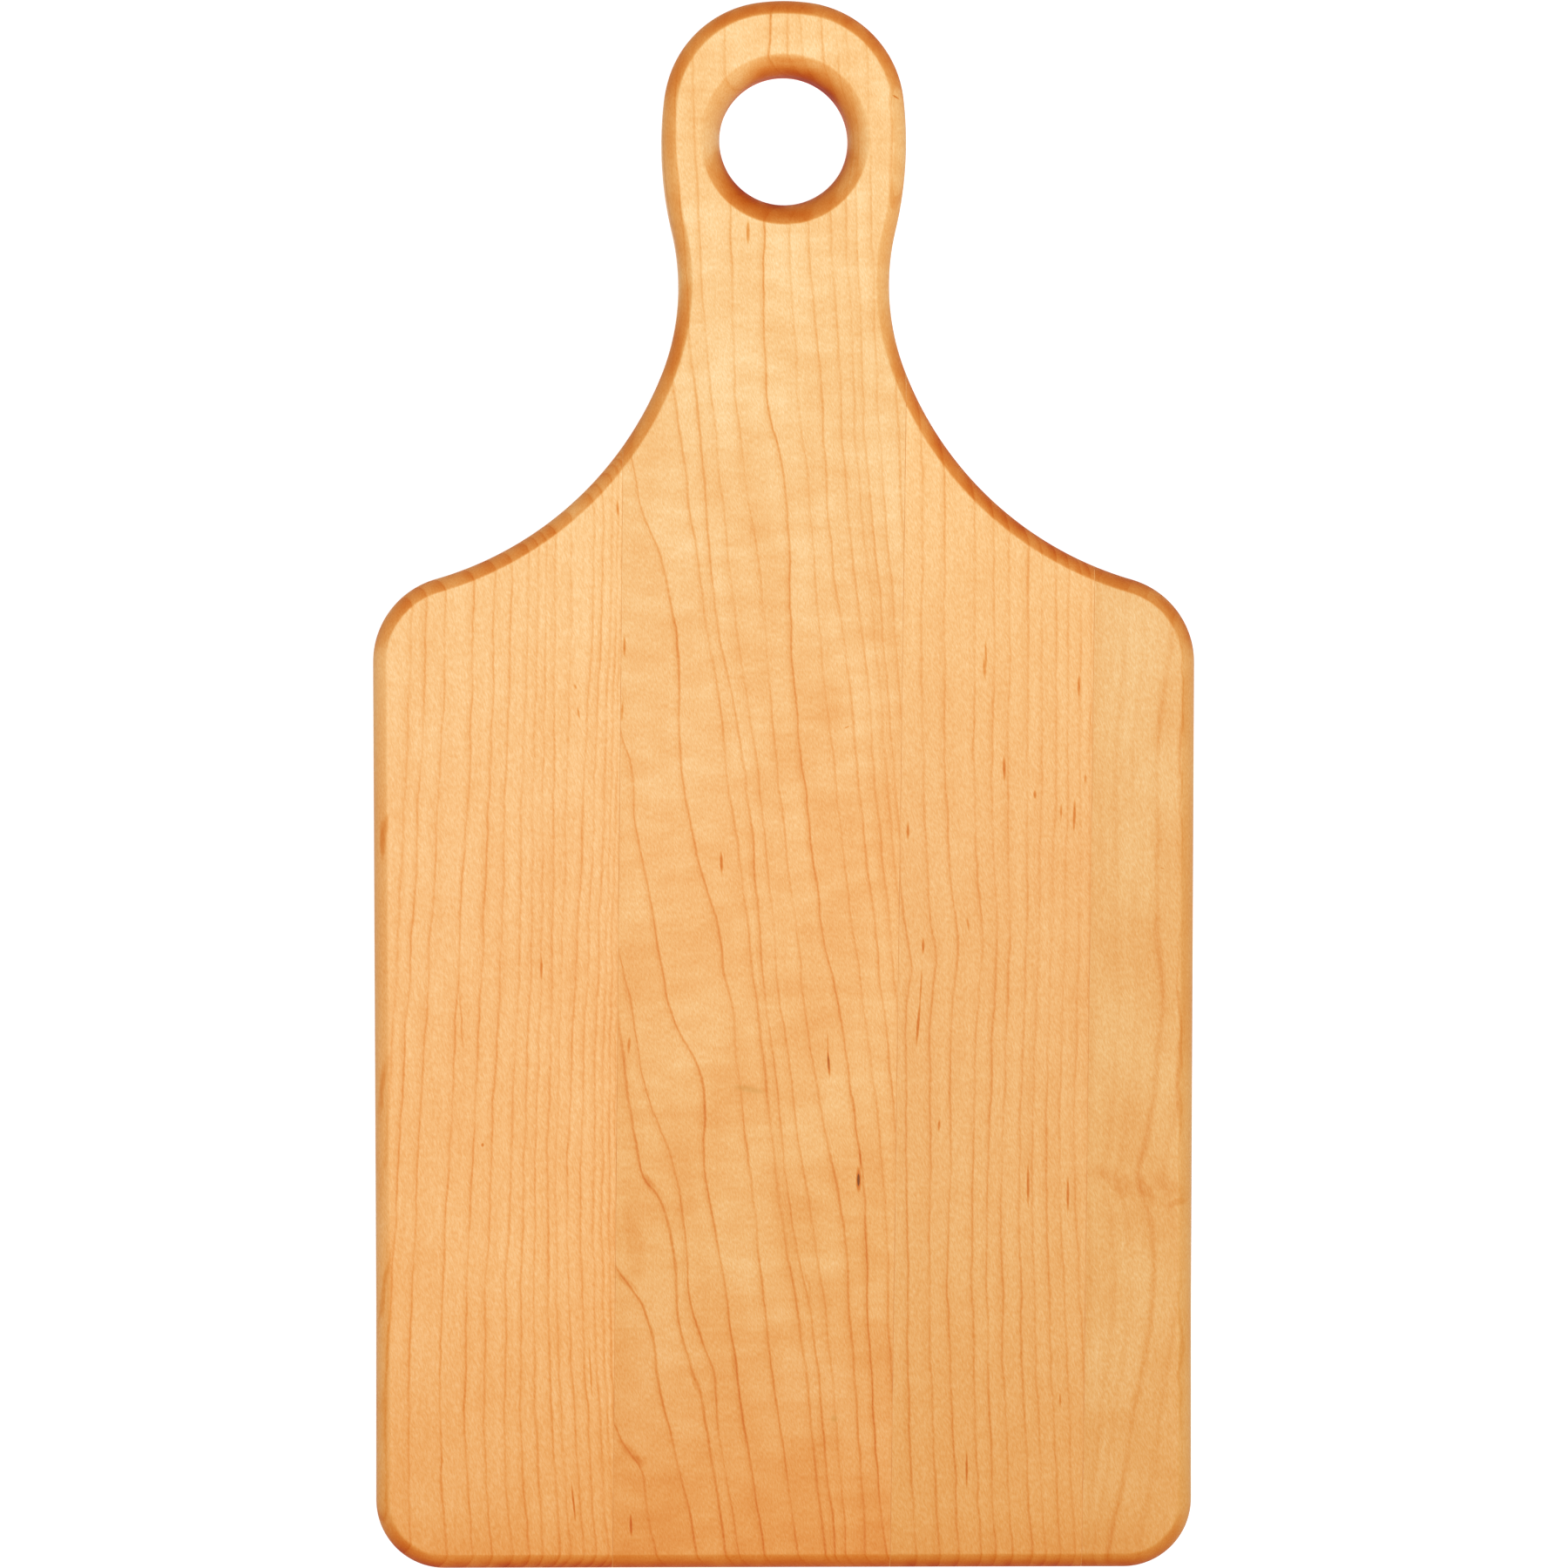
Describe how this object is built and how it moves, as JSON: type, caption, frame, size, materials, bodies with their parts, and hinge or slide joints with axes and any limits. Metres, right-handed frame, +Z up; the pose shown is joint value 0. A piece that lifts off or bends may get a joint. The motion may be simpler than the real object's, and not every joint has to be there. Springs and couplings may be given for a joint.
{
  "type": "paddle cutting board",
  "caption": "Flat wooden paddle cutting board, edge-glued from staves, with rounded edges, hollow shoulders and a short handle with a round hanging hole.",
  "frame": {"origin": "middle of the underside of the whole board, on the surface it lies on", "axes": "+Z up out of the cutting face, +Y along the board towards the handle, +X to the right seen from above with the handle away"},
  "size_m": [0.1794, 0.342, 0.019],
  "materials": {
    "maple_left": "oiled hard maple, satin, straight even grain",
    "maple_centre": "oiled hard maple, satin, flat-sawn grain with faint curl",
    "maple_right": "oiled hard maple, satin, straight grain with gum flecks",
    "maple_edge": "oiled hard maple, satin, plain face grain",
    "cured_glue": "cured wood glue, amber, sanded flush"
  },
  "bodies": {
    "root": {"stave_left": "maple_left", "stave_centre": "maple_centre", "stave_right": "maple_right", "stave_edge": "maple_edge", "glue_line_left": "cured_glue", "glue_line_centre": "cured_glue", "glue_line_right": "cured_glue"}
  },
  "joints": []
}
